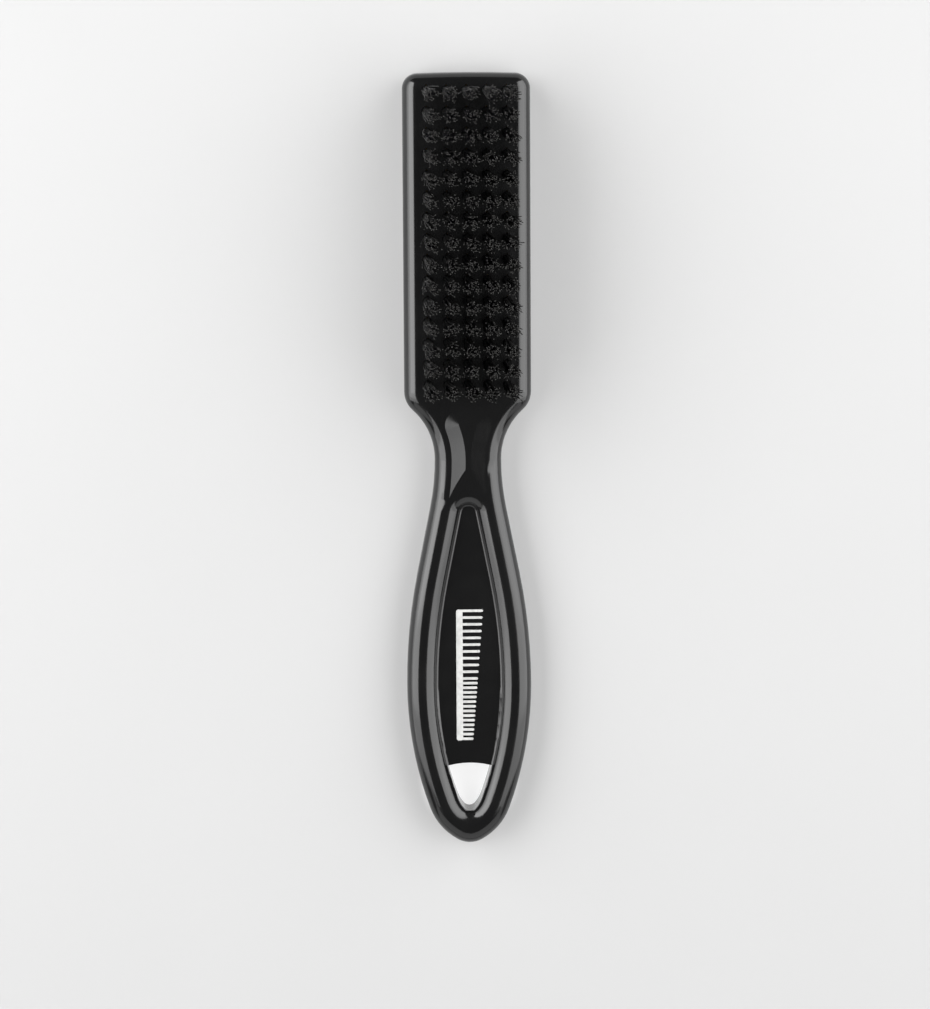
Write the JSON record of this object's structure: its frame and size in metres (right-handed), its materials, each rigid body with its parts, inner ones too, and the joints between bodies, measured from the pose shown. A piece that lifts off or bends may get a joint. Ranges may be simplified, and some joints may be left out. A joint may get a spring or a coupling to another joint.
{
  "type": "fade brush",
  "caption": "Slim barber's fade brush with a straight rectangular bristle head, a pinched neck and an oval ring handle with a recessed panel and a hanging hole.",
  "frame": {"origin": "middle of the brush's box on the flat back that it lies on", "axes": "+Z is the bristle direction, away from the back; +Y runs along the brush to the head end; +X is across the brush"},
  "size_m": [0.0294, 0.18, 0.028],
  "materials": {
    "handle_plastic": "polished black injection moulding",
    "bristle_nylon": "black nylon filament",
    "anchor_wire": "drawn flat wire",
    "white_ink": "pad-printed ink"
  },
  "bodies": {
    "root": {"handle_body": "handle_plastic", "printed_mark": "white_ink", "tuft_row_01": "bristle_nylon", "tuft_row_02": "bristle_nylon", "tuft_row_03": "bristle_nylon", "tuft_row_04": "bristle_nylon", "tuft_row_05": "bristle_nylon", "tuft_row_06": "bristle_nylon", "tuft_row_07": "bristle_nylon", "tuft_row_08": "bristle_nylon", "tuft_row_09": "bristle_nylon", "tuft_row_10": "bristle_nylon", "tuft_row_11": "bristle_nylon", "tuft_row_12": "bristle_nylon", "tuft_row_13": "bristle_nylon", "tuft_row_14": "bristle_nylon", "tuft_row_15": "bristle_nylon", "anchor_row_01": "anchor_wire", "anchor_row_02": "anchor_wire", "anchor_row_03": "anchor_wire", "anchor_row_04": "anchor_wire", "anchor_row_05": "anchor_wire", "anchor_row_06": "anchor_wire", "anchor_row_07": "anchor_wire", "anchor_row_08": "anchor_wire", "anchor_row_09": "anchor_wire", "anchor_row_10": "anchor_wire", "anchor_row_11": "anchor_wire", "anchor_row_12": "anchor_wire", "anchor_row_13": "anchor_wire", "anchor_row_14": "anchor_wire", "anchor_row_15": "anchor_wire"}
  },
  "joints": []
}
